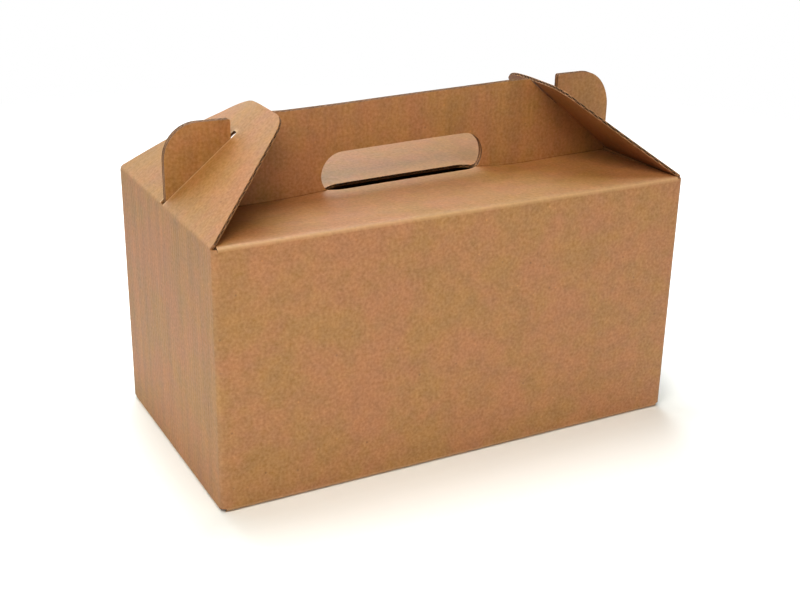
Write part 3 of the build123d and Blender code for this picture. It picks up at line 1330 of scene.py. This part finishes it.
@dataclass
class BottomFlaps:
    """Four bottom flaps: two side ones, the notched front one and the rear one with its tongue."""

    layer_gap: float = 0.3
    rise_run: float = 24.0
    rise_radius: float = 50.0
    chamfer: float = 25.0
    front_past_centre: float = 18.0
    rear_from_centre: float = 12.0
    side_reach: float = 80.0
    notch_half: float = 44.0
    notch_floor: float = -28.45
    tongue_half: float = 42.0
    tongue_start: float = 4.0
    tongue_tip: float = -48.45
    tongue_radius: float = 12.0
    flute_show: float = 0.6
    reading_points: int = 4000
    front_blank: tuple[float, float] = (11.0, -200.0)
    rear_blank: tuple[float, float] = (23.0, -420.0)
    side_blank: tuple[float, float] = (5.0, -640.0)

    def height(self, layer: int) -> float:
        """Height of the middle of a layer of flaps, counted from the ground."""
        return BOARD.thickness / 2 + layer * (BOARD.thickness + self.layer_gap)

    def reader(self, profile: Profile, forward: float) -> Callable[[float], float]:
        """Gives the place along a sheet for a place across the box's floor.

        Args:
            profile: The sheet's bent line.
            forward: 1 where the line runs towards higher places, otherwise -1.

        Returns:
            A function from a place on the floor to a distance along the line.
        """
        along = np.linspace(0, profile.length, self.reading_points)
        spots, _ = profile.place(along)
        places = np.maximum.accumulate(spots[:, 0] * forward)
        return lambda place: float(np.interp(place * forward, places, along))

    def _board(self, sheet: SheetMesh, loops: Sequence[Loop], papers: Papers) -> bpy.types.Object:
        """Makes one flap as a board of three papers."""
        sheet.add_board(loops)
        return sheet.build(lambda blank: np.full(len(blank), self.flute_show), papers.skins)

    def front(self, papers: Papers) -> bpy.types.Object:
        """Makes the front flap, which rises over the side flaps.

        Args:
            papers: The board's materials.

        Returns:
            The flap.
        """
        wall = BOX.middle(BOX.width)
        path = [
            (-wall, BOX.wall_bottom),
            (-wall, self.height(0)),
            (self.rise_run - wall, self.height(2)),
            (self.front_past_centre, self.height(2)),
        ]
        profile = Profile(path, [BOX.fold_radius, self.rise_radius], outer_left=False)
        at = self.reader(profile, 1.0)
        wide = BOX.bottom_half_length
        start = -wall + BOX.fold_radius
        corners = [
            (wide, 0.0),
            (wide, at(start)),
            (wide - self.chamfer, at(start + self.chamfer)),
            (wide - self.chamfer, profile.length),
            (self.notch_half, profile.length),
            (self.notch_half, at(self.notch_floor)),
        ]
        sheet = SheetMesh("front_bottom_flap", profile, Lie.LONG, uv_shift=self.front_blank)
        return self._board(sheet, [mirrored(corners)], papers)

    def rear(self, papers: Papers) -> bpy.types.Object:
        """Makes the rear flap, which lies on the ground, with its tongue.

        Args:
            papers: The board's materials.

        Returns:
            The flap.
        """
        wall = BOX.middle(BOX.width)
        path = [
            (wall, BOX.wall_bottom),
            (wall, self.height(0)),
            (self.tongue_start, self.height(0)),
            (self.tongue_start - self.rise_run, self.height(3)),
            (self.tongue_tip, self.height(3)),
        ]
        radii = [BOX.fold_radius, self.rise_radius, self.rise_radius]
        profile = Profile(path, radii, outer_left=True)
        at = self.reader(profile, -1.0)
        wide = BOX.bottom_half_length
        start = wall - BOX.fold_radius
        corners = [
            (wide, 0.0),
            (wide, at(start)),
            (wide - self.chamfer, at(start - self.chamfer)),
            (wide - self.chamfer, at(self.rear_from_centre)),
            (self.tongue_half, at(self.rear_from_centre)),
            (self.tongue_half, profile.length),
        ]
        radii = [0.0, 0.0, 0.0, 0.0, 0.0, self.tongue_radius]
        loop = rounded(mirrored(corners), radii + radii[::-1])
        sheet = SheetMesh("rear_bottom_flap", profile, Lie.LONG, uv_shift=self.rear_blank)
        return self._board(sheet, [loop], papers)

    def side(self, side: Side, papers: Papers) -> bpy.types.Object:
        """Makes one of the two side flaps.

        Args:
            side: Which end of the box.
            papers: The board's materials.

        Returns:
            The flap.
        """
        x = side.value
        wall = BOX.middle(BOX.length)
        path = [
            (x * wall, BOX.wall_bottom),
            (x * wall, self.height(0)),
            (x * (wall - self.rise_run), self.height(1)),
            (x * (BOX.length / 2 - self.side_reach), self.height(1)),
        ]
        profile = Profile(path, [BOX.fold_radius, self.rise_radius], outer_left=side is Side.HIGH)
        at = self.reader(profile, -x)
        wide = BOX.bottom_half_width
        start = wall - BOX.fold_radius
        corners = [
            (wide, 0.0),
            (wide, at(x * start)),
            (wide - self.chamfer, at(x * (start - self.chamfer))),
            (wide - self.chamfer, profile.length),
        ]
        name = "left_bottom_flap" if side is Side.LOW else "right_bottom_flap"
        shift = (self.side_blank[0] * x, self.side_blank[1])
        sheet = SheetMesh(name, profile, Lie.CROSS, uv_shift=shift)
        return self._board(sheet, [mirrored(corners)], papers)


class Tint(Enum):
    """Colours of the studio's lamps."""

    SKY = (0.9, 1.0, 1.02)
    COOL = (0.9, 1.0, 0.97)
    WARM = (1.0, 0.97, 0.9)
    AMBER = (1.0, 0.95, 0.81)


@dataclass(frozen=True)
class Softbox:
    """A square studio lamp that looks at a point of the box."""

    name: str
    place: tuple[float, float, float]
    size: float
    power: float
    tint: Tint
    aim: tuple[float, float, float] = (0.0, 0.0, 0.09)

    def build(self) -> None:
        """Puts the lamp in the scene."""
        data = bpy.data.lights.new(self.name, "AREA")
        data.shape = "SQUARE"
        data.size = self.size
        data.energy = self.power
        data.color = self.tint.value
        lamp = bpy.data.objects.new(self.name, data)
        lamp.location = self.place
        gaze = Vector(self.aim) - Vector(self.place)
        lamp.rotation_euler = gaze.to_track_quat("-Z", "Y").to_euler()
        bpy.context.scene.collection.objects.link(lamp)


@dataclass
class Studio:
    """White floor, even light from all round, the lamps and the camera."""

    floor_half: float = 4.0
    floor_glow: float = 0.36
    floor_fade: tuple[float, float] = (0.45, 0.9)
    floor_paint: Colour = grey(0.95)
    floor_mirrored: Colour = grey(0.45)
    far_floor: Colour = grey(0.25)
    white: Colour = grey(1.0)
    shade_width: float = 0.06
    sky_strength: float = 0.04
    lens: float = 58.43
    shift: tuple[float, float] = (-0.0018, 0.0012)
    sensor: float = 36.0
    eye: tuple[float, float, float] = (-0.35523, -0.66323, 0.38164)
    right: tuple[float, float, float] = (0.88402895, -0.46705087, 0.01887611)
    up: tuple[float, float, float] = (0.16334887, 0.34651731, 0.92371148)
    back: tuple[float, float, float] = (-0.43796115, -0.8135043, 0.38262356)
    lamps: tuple[Softbox, ...] = (
        Softbox("back_high", (0.18, 1.04, 1.8), 1.2, 30.5, Tint.SKY),
        Softbox("back", (0.0, 1.813, 0.945), 1.5, 9.0, Tint.COOL),
        Softbox("back_left", (-1.35, 1.35, 0.75), 1.5, 12.0, Tint.COOL),
        Softbox("left_over", (-0.9, -0.75, 1.6), 1.2, 11.0, Tint.WARM),
        Softbox("front_left", (-1.45, -1.0, 1.15), 1.5, 5.5, Tint.WARM),
        Softbox("near_left", (-0.22, -0.43, 0.75), 0.5, 2.95, Tint.AMBER),
        Softbox("front_right", (1.0, -1.6, 0.65), 1.5, 2.7, Tint.AMBER),
        Softbox("low_right", (0.9, -1.4, 0.16), 0.8, 4.2, Tint.AMBER),
    )

    def build(self) -> None:
        """Makes the floor, the sky, the lamps and the camera."""
        self._floor()
        self._sky()
        for lamp in self.lamps:
            lamp.build()
        self._camera()
        bpy.context.scene.view_settings.view_transform = "Standard"

    def _floor(self) -> None:
        """Makes the white floor, which takes the box's shadow."""
        h = self.floor_half
        mesh = bpy.data.meshes.new("floor")
        mesh.from_pydata([(-h, -h, 0), (h, -h, 0), (h, h, 0), (-h, h, 0)], [], [(0, 1, 2, 3)])
        floor = bpy.data.objects.new("floor", mesh)
        bpy.context.scene.collection.objects.link(floor)
        material = bpy.data.materials.new("white_floor")
        graph = Graph(material)
        path = graph.add("ShaderNodeLightPath", {}).outputs
        paint = graph.mix(path["Is Glossy Ray"], self.floor_paint, self.floor_mirrored)
        shader = graph.add("ShaderNodeBsdfDiffuse", {"Color": paint})
        spots = graph.add("ShaderNodeTexCoord", {}).outputs["Object"]
        parts = graph.add("ShaderNodeSeparateXYZ", {0: spots}).outputs
        past_x = graph.math("SUBTRACT", graph.math("ABSOLUTE", parts[0]), BOX.length / 2 * MM)
        past_y = graph.math("SUBTRACT", graph.math("ABSOLUTE", parts[1]), BOX.width / 2 * MM)
        beside = graph.ramp(graph.math("MAXIMUM", past_x, past_y), 0.0, self.shade_width)
        strength = graph.times(beside, self.floor_glow)
        glow = graph.add("ShaderNodeEmission", {"Color": self.white, "Strength": strength})
        near = graph.add("ShaderNodeAddShader", {0: shader.outputs[0], 1: glow.outputs[0]})
        away = graph.add("ShaderNodeVectorMath", {0: spots}, operation="LENGTH").outputs["Value"]
        shine = graph.mix(path["Is Camera Ray"], self.far_floor, self.white)
        far = graph.add("ShaderNodeEmission", {"Color": shine})
        share = graph.ramp(away, *self.floor_fade)
        both = graph.add("ShaderNodeMixShader", {0: share, 1: near.outputs[0], 2: far.outputs[0]})
        graph.finish(both)
        mesh.materials.append(material)

    def _sky(self) -> None:
        """Makes an even sky that the camera sees as white."""
        world = bpy.data.worlds.new("studio")
        bpy.context.scene.world = world
        graph = Graph(world, "ShaderNodeOutputWorld")
        soft = graph.add("ShaderNodeBackground", {0: self.white, 1: self.sky_strength})
        plain = graph.add("ShaderNodeBackground", {0: self.white})
        path = graph.add("ShaderNodeLightPath", {}).outputs
        shaders = {0: path["Is Camera Ray"], 1: soft.outputs[0], 2: plain.outputs[0]}
        graph.finish(graph.add("ShaderNodeMixShader", shaders))

    def _camera(self) -> None:
        """Puts the camera where the box is seen from."""
        data = bpy.data.cameras.new("camera")
        data.lens = self.lens
        data.sensor_width = self.sensor
        data.sensor_fit = "HORIZONTAL"
        data.shift_x, data.shift_y = self.shift
        data.dof.use_dof = False
        camera = bpy.data.objects.new("camera", data)
        columns = (self.right, self.up, self.back, self.eye)
        rows = [[column[i] for column in columns] for i in range(3)]
        camera.matrix_world = Matrix([*rows, [0.0, 0.0, 0.0, 1.0]])
        bpy.context.scene.collection.objects.link(camera)
        bpy.context.scene.camera = camera


def report(piece: bpy.types.Object, body: str) -> bpy.types.Object:
    """Ties a piece to its body, and logs it.

    Args:
        piece: The piece's object.
        body: Name of the body that it rides on.

    Returns:
        The piece.
    """
    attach(piece, body)
    LOG.info("%s: %d faces, rides on %s", piece.name, len(piece.data.polygons), body)
    return piece


def main() -> None:
    """Builds the board's pieces in order, then the studio."""
    logging.basicConfig(level=logging.INFO)
    papers = Papers()
    walls = report(Walls().build(papers), "carton")
    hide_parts("carton")
    for side in Side:
        report(Crown(side).build(papers), "carton")
        report(EndWallTop(side).build(papers), "carton")
    bottom = BottomFlaps()
    report(bottom.front(papers), "carton")
    report(bottom.rear(papers), "carton")
    for side in Side:
        report(bottom.side(side, papers), "carton")
    left = report(EndFlap(Side.LOW).build(papers), "left_flap")
    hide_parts("left_end_flap")
    flap = EndFlap(Side.HIGH, tip_trim=3.5, curl=3.0, lift=1.2)
    right = report(flap.build(papers), "right_flap")
    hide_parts("right_end_flap")
    Studio().build()


if __name__ == "__main__":
    main()
